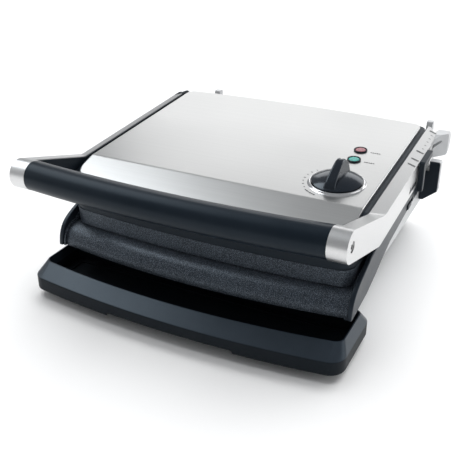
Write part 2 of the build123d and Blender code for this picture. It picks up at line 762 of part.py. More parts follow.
with BuildPart() as float_pins:
    for side in (-1, 1):
        with BuildSketch(side_at(side * 159.5)):
            with Locations((FLOAT_RUN, FLOAT_RISE)):
                Circle(FLOAT_PIN_RADIUS)
        extrude(amount=side * (ARM_INNER + 4 - 159.5))
save(float_pins, "float_pins")

# Height clip on the right arm: a block on top, a leg that hangs down, a tongue in the arm's groove
CLIP_FRONT = 172.5
CLIP_REAR = 210.7
CLIP_TOP = 64.8
CLIP_INNER = 182.3
CLIP_OUTER = 188.3
with BuildPart() as height_clip:
    with BuildSketch(side_at(CLIP_INNER)) as outline:
        with BuildLine() as edge:
            Polyline((CLIP_FRONT, CLIP_TOP - 1.5), (CLIP_FRONT, 29), (CLIP_FRONT + 7, 29),
                     (CLIP_FRONT + 9, 54), (CLIP_FRONT + 14, 57), (CLIP_REAR, 57), (CLIP_REAR, CLIP_TOP),
                     (CLIP_FRONT + 3, CLIP_TOP), close=True)
        make_face(edge.line)
        fillet(outline.vertices(), 1.2)
    extrude(amount=CLIP_OUTER - CLIP_INNER)
    fillet(height_clip.faces().sort_by(Axis.X)[-1].edges(), 1.0)
    with BuildSketch(side_at(ARM_OUTER - 2.2)):
        with Locations(((CLIP_FRONT + CLIP_REAR) / 2 + 6, (GROOVE_LOW + GROOVE_HIGH) / 2)):
            Rectangle(24, GROOVE_HIGH - GROOVE_LOW - 0.8)
    extrude(amount=CLIP_INNER - ARM_OUTER + 2.2)
save(height_clip, "height_clip")

# ---------------------------------------------------------------- upper half

with BuildPart() as upper_plate:
    with BuildSketch(deck_at(PLATE_SLIT)) as outline:
        bowed_outline(PLATE_HALF, 0, PLATE_REAR, FRONT_BOW)
        round_corners(outline, 16, 8)
    extrude(amount=PLATE_TOP - PLATE_SLIT)
    with BuildSketch(deck_at(PLATE_SLIT + 7.5)) as pocket:
        bowed_outline(PLATE_HALF - 4, 4, PLATE_REAR - 4, FRONT_BOW)
        round_corners(pocket, 12, 5)
    extrude(amount=PLATE_TOP, mode=Mode.SUBTRACT)
    with BuildSketch(deck_at(PLATE_SLIT)) as cook_face:
        bowed_outline(PLATE_HALF - 7, 9, PLATE_REAR - 7, FRONT_BOW)
        round_corners(cook_face, 10, 4)
        with Locations((0, PLATE_REAR / 2)):
            with GridLocations(13, 0, 24, 1):
                RectangleRounded(4.5, PLATE_REAR - 22, 2, mode=Mode.SUBTRACT)
    extrude(amount=2.5, mode=Mode.SUBTRACT)
save(upper_plate, "upper_plate")

with BuildPart() as upper_element:
    element_loop(PLATE_SLIT + 7.5 + 4.1, 250, 36, 214, 4.0)
save(upper_element, "upper_element")

with BuildPart() as upper_reflector:
    with BuildSketch(deck_at(26)):
        with Locations((0, 116)):
            RectangleRounded(310, 200, 8)
    extrude(amount=1)
save(upper_reflector, "upper_reflector")


def make_under_lid(drop, half_width, front, rear, corner):
    """Block that fills the upper half from rise 20 up to this far under the lid's top face."""
    top = LID_TOP - drop
    slope = CREASE_DROP / CREASE_RUN
    with BuildPart() as block:
        with BuildSketch(side_at(0)) as profile:
            with BuildLine() as edge:
                Polyline((CREASE_RUN, top), (300, top), (300, PLATE_TOP), (-40, PLATE_TOP),
                         (-40, top - slope * (CREASE_RUN + 40)), close=True)
            make_face(edge.line)
            fillet(profile.vertices().sort_by_distance(Vector(CREASE_RUN, top, 0))[0], 14)
        extrude(amount=200, both=True)
        with BuildSketch(deck_at(PLATE_TOP)) as outline:
            bowed_outline(half_width, front, rear, FRONT_BOW, REAR_BOW)
            round_corners(outline, corner, corner / 2)
        extrude(amount=80, mode=Mode.INTERSECT)
    return block


def cut_controls(shaft_radius, lamp_radius):
    """Cuts the openings for the knob's shaft and the lamps down through the top."""
    with BuildSketch(deck_at(LID_TOP + 5)) as holes:
        with Locations((KNOB_X, KNOB_RUN)):
            Circle(shaft_radius)
        with Locations(*LAMPS.values()):
            Circle(lamp_radius)
    extrude(holes.sketch, amount=-20, mode=Mode.SUBTRACT)


with BuildPart() as lid_cover:
    add(make_under_lid(0, LID_HALF, 1, LID_REAR, 22).part)
    fillet(lid_cover.faces().sort_by(Axis.Z)[-1].edges(), 1.6)
    add(make_under_lid(LID_SKIRT, LID_HALF + 5, -4, LID_REAR + 5, 22).part, mode=Mode.SUBTRACT)
    add(make_under_lid(LID_SHEET, LID_HALF - LID_SHEET, 1 + LID_SHEET, LID_REAR - LID_SHEET, 21).part,
        mode=Mode.SUBTRACT)
    cut_controls(5, LENS_RADIUS)
save(lid_cover, "lid_cover")

with BuildPart() as upper_housing:
    add(make_under_lid(LID_SKIRT, HOUSING_HALF, 0.5, HOUSING_REAR, 18).part)
    inner = make_under_lid(LID_SKIRT + WALL, HOUSING_HALF - WALL, 0.5 + WALL, HOUSING_REAR - WALL, 15)
    add(inner.part, mode=Mode.SUBTRACT)
    # the part that reaches back over the plate's rear edge
    with BuildSketch(deck_at(PLATE_TOP)):
        with Locations((0, PLATE_REAR + 55)):
            Rectangle(400, 100)
    extrude(amount=28, mode=Mode.SUBTRACT)
    # bosses for the float pins
    for side in (-1, 1):
        with BuildSketch(side_at(side * 155)):
            with Locations((FLOAT_RUN, FLOAT_RISE)):
                Circle(9)
        extrude(amount=side * (HOUSING_HALF - 155))
        with BuildSketch(side_at(side * 158)):
            with Locations((FLOAT_RUN, FLOAT_RISE)):
                Circle(FLOAT_PIN_RADIUS + RUNNING_GAP)
        extrude(amount=side * 10, mode=Mode.SUBTRACT)
    cut_controls(5, LENS_RADIUS)
save(upper_housing, "upper_housing")

knob_axis = Axis(deck.from_local_coords(Vector(KNOB_X, KNOB_RUN, 0)), Vector(*deck_normal))
knob_section = side_at(KNOB_X)
knob_foot = deck.from_local_coords(Vector(KNOB_X, KNOB_RUN, KNOB_FOOT))

with BuildPart() as dial_ring:
    with BuildSketch(knob_section):
        with BuildLine() as edge:
            Line((KNOB_RUN + RING_INNER, LID_TOP), (KNOB_RUN + RING_INNER, LID_TOP + 1.6))
            ThreePointArc((KNOB_RUN + RING_INNER, LID_TOP + 1.6),
                          (KNOB_RUN + RING_INNER + 0.9, LID_TOP + 2.2),
                          (KNOB_RUN + RING_INNER + 1.9, LID_TOP + 1.4))
            ThreePointArc((KNOB_RUN + RING_INNER + 1.9, LID_TOP + 1.4),
                          (KNOB_RUN + RING_INNER + 2.5, LID_TOP + 0.6),
                          (KNOB_RUN + RING_OUTER, LID_TOP))
            Line((KNOB_RUN + RING_OUTER, LID_TOP), (KNOB_RUN + RING_INNER, LID_TOP))
        make_face(edge.line)
    revolve(axis=knob_axis)
save(dial_ring, "dial_ring")

with BuildPart() as blade:
    with BuildSketch(knob_section) as outline:
        with BuildLine() as edge:
            Spline((KNOB_RUN - 25.5, KNOB_FOOT + 1), (KNOB_RUN - 17, KNOB_FOOT + 12),
                   (KNOB_RUN - 2, KNOB_FOOT + 20), (KNOB_RUN + 11, KNOB_FOOT + 22),
                   (KNOB_RUN + 20.5, KNOB_FOOT + 15.5), (KNOB_RUN + 24.5, KNOB_FOOT + 1),
                   tangents=((0.2, 1), (0.1, -1)))
            Line((KNOB_RUN + 24.5, KNOB_FOOT + 1), (KNOB_RUN - 25.5, KNOB_FOOT + 1))
        make_face(edge.line)
    extrude(amount=BLADE_FOOT / 2, both=True)
    # flanks lean in towards the crest
    with BuildSketch(Plane(knob_foot, x_dir=(1, 0, 0), z_dir=up_the_deck)):
        with BuildLine() as edge:
            Polyline((-BLADE_FOOT / 2, 0), (BLADE_FOOT / 2, 0), (BLADE_CREST / 2, -24),
                     (-BLADE_CREST / 2, -24),
                     close=True)
        make_face(edge.line)
    extrude(amount=30, both=True, mode=Mode.INTERSECT)
    fillet(blade.edges().sort_by(SortBy.LENGTH)[-2:], 2.2)

with BuildPart() as knob:
    with BuildSketch(knob_section):
        with BuildLine() as edge:
            Polyline((KNOB_RUN, KNOB_FOOT + 8.2), (KNOB_RUN, KNOB_FOOT), (KNOB_RUN + KNOB_RADIUS, KNOB_FOOT),
                     (KNOB_RUN + KNOB_RADIUS, KNOB_FOOT + 2.4))
            ThreePointArc((KNOB_RUN + KNOB_RADIUS, KNOB_FOOT + 2.4), (KNOB_RUN + 17, KNOB_FOOT + 6.6),
                          (KNOB_RUN, KNOB_FOOT + 8.2))
        make_face(edge.line)
    revolve(axis=knob_axis)
    add(blade.part)
    with BuildSketch(deck_at(KNOB_FOOT)):
        with Locations((KNOB_X, KNOB_RUN)):
            Circle(SHAFT_RADIUS)
    extrude(amount=11, mode=Mode.SUBTRACT)
    with BuildSketch(deck_at(KNOB_FOOT + 24)):
        with Locations((KNOB_X, KNOB_RUN + 11)):
            Circle(DOT_RADIUS)
    extrude(amount=-4, mode=Mode.SUBTRACT)
save(knob, "knob")

with BuildPart() as knob_dot:
    with BuildSketch(deck_at(KNOB_FOOT + 20)):
        with Locations((KNOB_X, KNOB_RUN + 11)):
            Circle(DOT_RADIUS)
    extrude(amount=1.6)
save(knob_dot, "knob_dot")

with BuildPart() as knob_shaft:
    with BuildSketch(deck_at(44)):
        with Locations((KNOB_X, KNOB_RUN)):
            Circle(SHAFT_RADIUS)
    extrude(amount=KNOB_FOOT + 11 - 44)
save(knob_shaft, "knob_shaft")

with BuildPart() as thermostat:
    with BuildSketch(deck_at(40)):
        with Locations((KNOB_X, KNOB_RUN)):
            Circle(17)
            with Locations((-20, 0)):
                Rectangle(14, 12)
    extrude(amount=18)
    with BuildSketch(deck_at(58)):
        with Locations((KNOB_X, KNOB_RUN)):
            Circle(4.6)
    extrude(amount=12)
    with BuildSketch(deck_at(43.8)):
        with Locations((KNOB_X, KNOB_RUN)):
            Circle(SHAFT_RADIUS + RUNNING_GAP)
    extrude(amount=40, mode=Mode.SUBTRACT)
save(thermostat, "thermostat")

for colour, place in LAMPS.items():
    with BuildPart() as lens:
        with BuildSketch(deck_at(61)):
            with Locations(place):
                Circle(LENS_RADIUS - 0.1)
        extrude(amount=LID_TOP + 1.3 - 61)
        fillet(lens.faces().sort_by(Axis.Z)[-1].edges(), 1.4)
        with BuildSketch(deck_at(61)):
            with Locations(place):
                Circle(LENS_RADIUS - 1.6)
        extrude(amount=9, mode=Mode.SUBTRACT)
    save(lens, f"{colour}_lens")

with BuildPart() as lamp_rims:
    with BuildSketch(deck_at(LID_TOP)):
        with Locations(*LAMPS.values()):
            Circle(LENS_RADIUS + 1.2)
            Circle(LENS_RADIUS, mode=Mode.SUBTRACT)
    extrude(amount=1.5)
    fillet(lamp_rims.faces().group_by(Axis.Z)[-1].edges(), 0.4)
save(lamp_rims, "lamp_rims")

with BuildPart() as lamp_holders:
    with BuildSketch(deck_at(48)):
        with Locations(*LAMPS.values()):
            Circle(4.4)
    extrude(amount=20)
save(lamp_holders, "lamp_holders")

# ---------------------------------------------------------------- plate latches and drip tray

for side, name in ((1, "right"), (-1, "left")):
    with BuildPart() as latch:
        with BuildSketch(side_at(side * (CHEEK_INNER + 0.2))):
            with Locations((LATCH_RUN + 10, LATCH_RISE)):
                Rectangle(16, 9.6)
        extrude(amount=side * 1.6)
        with BuildSketch(side_at(side * (CHEEK_INNER + 1.8))):
            with Locations((LATCH_RUN + 10, LATCH_RISE)):
                RectangleRounded(14, LATCH_WINDOW[1] - 0.8, 1.2)
        extrude(amount=side * 4.7)
        fillet(latch.faces().sort_by(Axis.X if side < 0 else -Axis.X)[0].edges(), 0.8)
        with BuildSketch(side_at(side * 167.4)):
            with Locations((LATCH_RUN + 8, RAIL_HEIGHT + 1.3)):
                Rectangle(8, 2)
        extrude(amount=side * (CHEEK_INNER + 0.2 - 167.4))
    save(latch, f"{name}_plate_latch")


def tray_level(height, inset, front_radius, rear_radius):
    """Sketch of the drip tray's outer plan, drawn in by an inset."""
    with BuildSketch(Plane.XY.offset(height)) as level:
        bowed_outline(TRAY_HALF - inset, TRAY_FRONT + inset, TRAY_REAR - inset, TRAY_BOW)
        round_corners(level, front_radius, rear_radius)
    return level.sketch


def rim_level(height, inset, front_radius, rear_radius):
    """Sketch of the drip tray's rim, the top of its bevel, drawn in by an inset."""
    with BuildSketch(Plane.XY.offset(height)) as level:
        bowed_outline(RIM_HALF - inset, RIM_FRONT + inset, RIM_REAR - inset, TRAY_BOW + 0.6)
        round_corners(level, front_radius, rear_radius)
    return level.sketch


with BuildPart() as drip_tray:
    extrude(tray_level(TRAY_BOTTOM, 0, 17, 13), amount=TRAY_EDGE_Z - TRAY_BOTTOM)
    loft([tray_level(TRAY_EDGE_Z, 0, 17, 13), rim_level(RIM_Z, 0, 10, 8)], ruled=True)
    fillet(drip_tray.edges().filter_by_position(Axis.Z, TRAY_EDGE_Z - 0.1, TRAY_EDGE_Z + 0.1), 1.5)
    fillet(drip_tray.faces().sort_by(Axis.Z)[0].edges(), 2.0)
    # hollow under the bevelled rim
    extrude(tray_level(TRAY_BOTTOM, TRAY_WALL, 15, 11), amount=TRAY_EDGE_Z - TRAY_BOTTOM - 1,
            mode=Mode.SUBTRACT)
    loft([tray_level(TRAY_EDGE_Z - 1, TRAY_WALL, 15, 11), rim_level(RIM_Z - 3, -0.6, 10.6, 8.6)], ruled=True,
         mode=Mode.SUBTRACT)
    # basin with a raised bead near the front of its floor
    extrude(rim_level(TRAY_BOTTOM, -1.2, 11.2, 9.2), amount=RIM_Z - 3 - TRAY_BOTTOM)
    extrude(rim_level(RIM_Z, 1.2, 9, 7), amount=TRAY_FLOOR - RIM_Z, taper=3, mode=Mode.SUBTRACT)
    extrude(rim_level(TRAY_FLOOR, 9, 8, 6), amount=1.5)
    extrude(rim_level(TRAY_FLOOR, 13, 6, 5), amount=1.5, mode=Mode.SUBTRACT)
    # finger recess under the front edge
    with BuildSketch(Plane.XZ.offset(-RIM_FRONT + 18.5)):
        with Locations((0, TRAY_BOTTOM)):
            RectangleRounded(150, 9, 4)
    extrude(amount=60, mode=Mode.SUBTRACT)
    # tongues that run in the base's guides
    with BuildSketch(Plane.XY.offset(TONGUE_LOW)):
        with Locations((0, (TRAY_REAR - 3 + TONGUE_REAR) / 2)):
            with GridLocations(2 * GUIDE_X, 0, 2, 1):
                Rectangle(GUIDE_WIDTH, TONGUE_REAR - TRAY_REAR + 3)
    extrude(amount=TONGUE_HIGH - TONGUE_LOW)
save(drip_tray, "drip_tray")

with BuildPart() as tray_guides:
    with BuildSketch(Plane.XZ.offset(-TONGUE_REAR - 6)):
        with GridLocations(2 * GUIDE_X, 0, 2, 1):
            with Locations((0, BASE_FLOOR + 4.7)):
                Rectangle(GUIDE_WIDTH + 6, 9.4)
            with Locations((0, (TONGUE_LOW + TONGUE_HIGH) / 2)):
                Rectangle(GUIDE_WIDTH + 0.8, TONGUE_HIGH - TONGUE_LOW + 0.8, mode=Mode.SUBTRACT)
    extrude(amount=TONGUE_REAR + 6 - BASE_FRONT - SHELL - 0.3)
save(tray_guides, "tray_guides")
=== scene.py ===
import json
import math
import bpy
from mathutils import Matrix, Vector


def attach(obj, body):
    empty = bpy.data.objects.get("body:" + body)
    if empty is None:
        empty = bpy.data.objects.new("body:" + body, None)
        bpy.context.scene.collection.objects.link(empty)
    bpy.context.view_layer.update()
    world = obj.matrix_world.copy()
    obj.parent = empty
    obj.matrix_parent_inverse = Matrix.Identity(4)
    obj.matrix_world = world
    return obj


# The deck is the cooking plane: it leans down to the front. Its frame is the same as the CAD part's, and the
# lid's flat top lies LID_RISE above it.
TILT = math.radians(3.6)
DECK_ORIGIN = Vector((0, -0.1302, 0.0664))
UP_THE_DECK = Vector((0, math.cos(TILT), math.sin(TILT)))
DECK_NORMAL = Vector((0, -math.sin(TILT), math.cos(TILT)))
LID_RISE = 0.0700

# Height where the tray's walls turn into its bevel, and half of the band in which their looks change
TRAY_EDGE_Z = 0.0257
TRAY_EDGE_BLEND = 0.0005

# Lid brushing runs along X: texture scale on each axis. Dark plastics throw back a slightly blue highlight.
BRUSH_LINES = (3.0, 1700.0, 1700.0)
COOL = (0.72, 0.87, 1.0)

# The photo's camera: place, then azimuth, elevation and roll in degrees, and lens and sensor in millimetres
CAMERA_PLACE = (0.33478, -0.72377, 0.44629)
CAMERA_AZIMUTH = 26.91
CAMERA_ELEVATION = 27.37
CAMERA_ROLL = -0.13
CAMERA_LENS = 57.19
CAMERA_SENSOR = 36

# Every softbox points at LIGHTS_AIM. The world adds a weak, slightly blue light from all round.
LIGHTS_AIM = Vector((0, 0, 0.1))
WORLD_COLOUR = (0.95, 0.975, 1, 1)
WORLD_STRENGTH = 0.34

# Width of the square floor, wide enough for its edges to stay out of the photo's view
FLOOR_SIZE = 30

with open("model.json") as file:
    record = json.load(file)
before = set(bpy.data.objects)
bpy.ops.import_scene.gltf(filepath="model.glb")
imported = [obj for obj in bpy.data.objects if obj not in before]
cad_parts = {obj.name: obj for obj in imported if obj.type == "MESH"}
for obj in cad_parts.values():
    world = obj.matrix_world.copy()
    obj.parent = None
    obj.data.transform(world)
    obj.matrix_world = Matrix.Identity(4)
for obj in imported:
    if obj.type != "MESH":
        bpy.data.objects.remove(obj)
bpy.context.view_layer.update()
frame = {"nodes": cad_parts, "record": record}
record = frame["record"]
nodes = frame["nodes"]


# ---------------------------------------------------------------- shader building blocks

class Shader:
    """One material being built: a Principled surface and the nodes that feed it."""

    def __init__(self, name):
        self.material = bpy.data.materials.new(name)
        self.material.use_nodes = True
        self.tree = self.material.node_tree
        self.surface = self.tree.nodes["Principled BSDF"]
        self.place = self.tree.nodes.new("ShaderNodeTexCoord").outputs["Object"]
        self.bumped = None

    def node(self, kind, **settings):
        """Adds one shader node with these settings."""
        made = self.tree.nodes.new(kind)
        for key, value in settings.items():
            setattr(made, key, value)
        return made

    def link(self, source, target):
        """Joins an output socket to an input socket."""
        self.tree.links.new(source, target)

    def stretched(self, scale):
        """Object coordinates with one scale per axis."""
        mapping = self.node("ShaderNodeMapping")
        mapping.inputs["Scale"].default_value = scale
        self.link(self.place, mapping.inputs["Vector"])
        return mapping.outputs["Vector"]

    def noise(self, scale, detail, rough, stretch=None):
        """Fractal noise, as one value from 0 to 1."""
        made = self.node("ShaderNodeTexNoise")
        made.inputs["Scale"].default_value = scale
        made.inputs["Detail"].default_value = detail
        made.inputs["Roughness"].default_value = rough
        self.link(self.stretched(stretch) if stretch else self.place, made.inputs["Vector"])
        return made.outputs["Fac"]

    def cells(self, scale):
        """Distance to the nearest of many scattered points."""
        made = self.node("ShaderNodeTexVoronoi")
        made.inputs["Scale"].default_value = scale
        self.link(self.place, made.inputs["Vector"])
        return made.outputs["Distance"]

    def ramp(self, value, low, high, out_low=0.0, out_high=1.0):
        """Maps one range of a value to another, held at both ends."""
        made = self.node("ShaderNodeMapRange", clamp=True)
        made.inputs["From Min"].default_value = low
        made.inputs["From Max"].default_value = high
        made.inputs["To Min"].default_value = out_low
        made.inputs["To Max"].default_value = out_high
        self.link(value, made.inputs["Value"])
        return made.outputs["Result"]

    def mixed(self, factor, first, second):
        """Colour between two colours, each a triple or a socket."""
        made = self.node("ShaderNodeMix", data_type="RGBA")
        self.link(factor, made.inputs["Factor"])
        sockets = [i for i in made.inputs if i.type == "RGBA"]
        for value, socket in zip((first, second), sockets):
            if isinstance(value, tuple):
                socket.default_value = (*value, 1)
            else:
                self.link(value, socket)
        return [o for o in made.outputs if o.type == "RGBA"][0]

    def maths(self, operation, first, second):
        """Sum or product of two values, each a number or a socket."""
        made = self.node("ShaderNodeMath", operation=operation)
        for value, socket in ((first, made.inputs[0]), (second, made.inputs[1])):
            if isinstance(value, (int, float)):
                socket.default_value = value
            else:
                self.link(value, socket)
        return made.outputs["Value"]

    def bump(self, height, distance, strength):
        """Raises the surface by a height value, on top of any bump already there."""
        made = self.node("ShaderNodeBump")
        made.inputs["Distance"].default_value = distance
        made.inputs["Strength"].default_value = strength
        self.link(height, made.inputs["Height"])
        if self.bumped:
            self.link(self.bumped, made.inputs["Normal"])
        self.bumped = made.outputs["Normal"]
        self.link(self.bumped, self.surface.inputs["Normal"])

    def feed(self, name, value):
        """Sets one input of the surface to a number, a colour or a socket."""
        socket = self.surface.inputs[name]
        if isinstance(value, bpy.types.NodeSocket):
            self.link(value, socket)
        elif isinstance(value, tuple):
            socket.default_value = (*value, 1)
        else:
            socket.default_value = value


def metal(name, light, dark, rough, grain=None, brushed=None, depth=0.00001):
    """Metal with long brush lines or an even blasted grain, faint blotches and finger marks."""
    s = Shader(name)
    if brushed:
        fine = s.noise(1.0, 4, 0.65, stretch=brushed)
        broad = s.noise(1.0, 2, 0.5, stretch=tuple(v * 0.18 for v in brushed))
        lines = s.maths("MULTIPLY", s.maths("ADD", fine, broad), 0.5)
    else:
        lines = s.noise(grain, 5, 0.7)
    blotch = s.noise(9, 3, 0.55)
    shade = s.maths("MULTIPLY", s.maths("ADD", lines, s.maths("MULTIPLY", blotch, 0.25)), 0.8)
    touched = s.maths("ADD", lines, s.maths("MULTIPLY", blotch, 0.5))
    s.feed("Base Color", s.mixed(s.ramp(shade, 0.3, 0.75), dark, light))
    s.feed("Metallic", 1.0)
    s.feed("Roughness", s.ramp(touched, 0.5, 1.1, *rough))
    s.bump(lines, depth, 0.6)
    return s.material


def plastic(name, base, other, rough, grain, depth, coat=0.0, shine=0.5, tint=(1, 1, 1)):
    """Moulded plastic: a fine grain, soft colour clouds, and a few paler rubbed places."""
    s = Shader(name)
    clouds = s.noise(22, 4, 0.6)
    skin = s.noise(grain, 3, 0.6)
    rubbed = s.ramp(s.noise(60, 6, 0.75), 0.62, 0.8)
    tone = s.mixed(s.ramp(clouds, 0.3, 0.7), base, other)
    pale = tuple(min(1, v * 1.6 + 0.01) for v in other)
    worn = s.maths("ADD", clouds, s.maths("MULTIPLY", skin, 0.4))
    s.feed("Base Color", s.mixed(s.maths("MULTIPLY", rubbed, 0.35), tone, pale))
    s.feed("Roughness", s.ramp(worn, 0.4, 1.0, *rough))
    s.feed("Specular IOR Level", shine)
    s.feed("Specular Tint", tint)
    s.feed("Coat Weight", coat)
    s.feed("Coat Roughness", 0.12)
    s.bump(skin, depth, 0.5)
    return s.material


def tray_moulding(name):
    """Tray plastic: matt walls, and a smoother bevel above them, painted paler to stand for the light it
    catches from above.
    """
    s = Shader(name)
    height = s.node("ShaderNodeSeparateXYZ")
    s.link(s.place, height.inputs["Vector"])
    bevel = s.ramp(height.outputs["Z"], TRAY_EDGE_Z - TRAY_EDGE_BLEND, TRAY_EDGE_Z + TRAY_EDGE_BLEND)
    clouds = s.noise(26, 4, 0.6)
    skin = s.noise(1400, 3, 0.6)
    wall = s.mixed(s.ramp(clouds, 0.3, 0.7), (0.005, 0.007, 0.010), (0.008, 0.010, 0.013))
    # Painted highlight: the bevel gets a paler, bluer copy of the wall colour, as if lit from above.
    painted_lit_bevel = s.mixed(s.ramp(clouds, 0.3, 0.7), (0.012, 0.017, 0.024), (0.018, 0.024, 0.033))
    s.feed("Base Color", s.mixed(bevel, wall, painted_lit_bevel))
    s.feed("Specular IOR Level", s.ramp(bevel, 0, 1, 0.14, 0.55))
    s.feed("Specular Tint", COOL)
    s.feed("Roughness", s.maths("ADD", s.ramp(bevel, 0, 1, 0.42, 0.26), s.ramp(skin, 0.2, 0.8, 0.0, 0.08)))
    s.bump(skin, 0.00003, 0.5)
    return s.material


def coated_cast(name):
    """Cast aluminium under a speckled non-stick coat."""
    s = Shader(name)
    specks = s.cells(1500)
    big_specks = s.cells(740)
    clouds = s.noise(35, 4, 0.6)
    base = s.mixed(s.ramp(clouds, 0.3, 0.7), (0.014, 0.018, 0.025), (0.024, 0.031, 0.041))
    dotted = s.mixed(s.ramp(specks, 0.24, 0.40, 1.0, 0.0), base, (0.15, 0.17, 0.20))
    s.feed("Base Color", s.mixed(s.ramp(big_specks, 0.18, 0.36, 1.0, 0.0), dotted, (0.13, 0.155, 0.19)))
    s.feed("Specular Tint", (0.80, 0.91, 1.0))
    s.feed("Roughness", s.ramp(s.noise(300, 4, 0.6), 0.3, 0.7, 0.30, 0.48))
    s.feed("Metallic", 0.25)
    s.bump(s.noise(420, 4, 0.65), 0.00012, 0.7)
    return s.material


def lens(name, colour, glow):
    """Tinted lamp lens with a moulded ripple, lit a little from behind."""
    s = Shader(name)
    ripple = s.cells(700)
    s.feed("Base Color", s.mixed(s.ramp(ripple, 0.0, 0.6), colour, tuple(v * 0.45 for v in colour)))
    s.feed("Roughness", s.ramp(s.noise(400, 2, 0.5), 0.3, 0.7, 0.08, 0.2))
    s.feed("Emission Color", colour)
    s.feed("Emission Strength", glow)
    s.bump(ripple, 0.0002, 0.5)
    return s.material


MATERIALS = {
    "lid_steel": metal(
        "lid_steel", (0.67, 0.67, 0.665), (0.60, 0.60, 0.595), (0.28, 0.38),
        brushed=BRUSH_LINES, depth=0.000008),
    "satin_aluminium": metal("satin_aluminium", (0.74, 0.74, 0.74), (0.60, 0.60, 0.60), (0.30, 0.42), 1600),
    "nonstick_cast": coated_cast("nonstick_cast"),
    "dark_plastic": plastic(
        "dark_plastic", (0.006, 0.009, 0.013), (0.011, 0.014, 0.019), (0.34, 0.48), 1500, 0.00006,
        shine=0.28, tint=COOL),
    "grip_plastic": plastic(
        "grip_plastic", (0.005, 0.009, 0.014), (0.008, 0.012, 0.018), (0.30, 0.40), 1900, 0.00003,
        shine=0.21, tint=COOL),
    "tray_plastic": tray_moulding("tray_plastic"),
    "knob_plastic": plastic(
        "knob_plastic", (0.004, 0.006, 0.010), (0.007, 0.009, 0.014), (0.12, 0.20), 900, 0.00001,
        coat=0.2, tint=COOL),
    "silver_plastic": plastic(
        "silver_plastic", (0.50, 0.51, 0.52), (0.60, 0.61, 0.62), (0.32, 0.44), 1300, 0.00003),
    "bezel_plastic": plastic(
        "bezel_plastic", (0.008, 0.011, 0.016), (0.013, 0.017, 0.023), (0.30, 0.42), 1400, 0.00004,
        shine=0.34, tint=COOL),
    "chrome": metal("chrome", (0.80, 0.80, 0.81), (0.72, 0.72, 0.73), (0.17, 0.22), 900, depth=0.000002),
    "element_steel": metal("element_steel", (0.22, 0.20, 0.18), (0.10, 0.09, 0.085), (0.4, 0.6), 500),
    "inner_steel": metal("inner_steel", (0.60, 0.60, 0.60), (0.42, 0.42, 0.41), (0.32, 0.5), 260),
    "screw_steel": metal("screw_steel", (0.58, 0.58, 0.58), (0.40, 0.40, 0.40), (0.22, 0.36), 1200),
    "rubber": plastic("rubber", (0.018, 0.018, 0.018), (0.030, 0.030, 0.030), (0.6, 0.8), 800, 0.00008),
    "red_lens": lens("red_lens", (0.42, 0.12, 0.15), 0.05),
    "green_lens": lens("green_lens", (0.01, 0.44, 0.38), 0.08),
    "ink": plastic("ink", (0.030, 0.032, 0.038), (0.055, 0.057, 0.063), (0.4, 0.55), 900, 0.00001),
    "lamp_body": plastic("lamp_body", (0.70, 0.68, 0.60), (0.78, 0.76, 0.70), (0.1, 0.2), 500, 0.00002),
    "white_mark": plastic("white_mark", (0.70, 0.70, 0.70), (0.80, 0.80, 0.80), (0.4, 0.5), 900, 0.00002),
    "ceramic": plastic("ceramic", (0.66, 0.64, 0.60), (0.74, 0.72, 0.68), (0.25, 0.4), 300, 0.00004),
}
for entry in record["subparts"]:
    thing = nodes[entry["node"]]
    thing.data.materials.clear()
    thing.data.materials.append(MATERIALS[entry["material_slot"]])


# ---------------------------------------------------------------- printed marks

# Each mark is a thin slab of ink with round ends, a hair above its surface and a little smaller on top.
INK_THICKNESS = 0.00012
INK_GAP = 0.00005
INK_TOP_SCALE = 0.94
ROUND_END_STEPS = 6

# Dial and lamps: centres on the lid, as (x, run up the deck)
DIAL = (0.119, 0.0810)
LAMPS = {"red": (0.1165, 0.1671), "green": (0.1176, 0.1406)}

# Round the dial: ticks at its left side, then strokes near its front end, at these angles from the X axis
TICK_CIRCLE = 0.0350
TICK_ANGLES = [146 + 12 * step for step in range(7)]
TICK_LENGTHS = (0.0017, 0.0024)
TICK_WIDTH = 0.0009
STROKE_CIRCLE = 0.0362
STROKE_ANGLES = [229 + 4.2 * step for step in range(6)]
STROKE_LENGTH = 0.0023
STROKE_WIDTHS = (0.0013, 0.0019)

# Beside each lamp: a row of strokes to the right, whose first is this far from the lamp, as (x, run)
LAMP_ROW_START = (0.0128, -0.0012)
LAMP_ROW_STEP = 0.0024
LAMP_ROW_COUNT = 5
LAMP_STROKE_LENGTH = 0.0021
LAMP_STROKE_WIDTHS = (0.0014, 0.0020)

# Right arm: its top falls from the inner edge, at (x, rise), by ARM_FALL across and down. The scale has pairs
# of long bars and single short ones, each at a share of the way across.
ARM_EDGE = (0.1681, 0.0679)
ARM_FALL = (0.0135, 0.0043)
LONG_BAR_RUNS = (0.2602, 0.1985, 0.1770, 0.1622)
LONG_BAR_SHARE = 0.60
LONG_BAR_SIZE = (0.0092, 0.0008)
LONG_BAR_OFFSET = 0.0009
SHORT_BAR_RUNS = (0.2500, 0.2400, 0.2300, 0.2195, 0.2090)
SHORT_BAR_SHARE = 0.66
SHORT_BAR_SIZE = (0.0026, 0.0007)


def on_deck(x, run, rise):
    """Point in the shared frame from the deck's frame, in metres."""
    return DECK_ORIGIN + Vector((x, 0, 0)) + UP_THE_DECK * run + DECK_NORMAL * rise


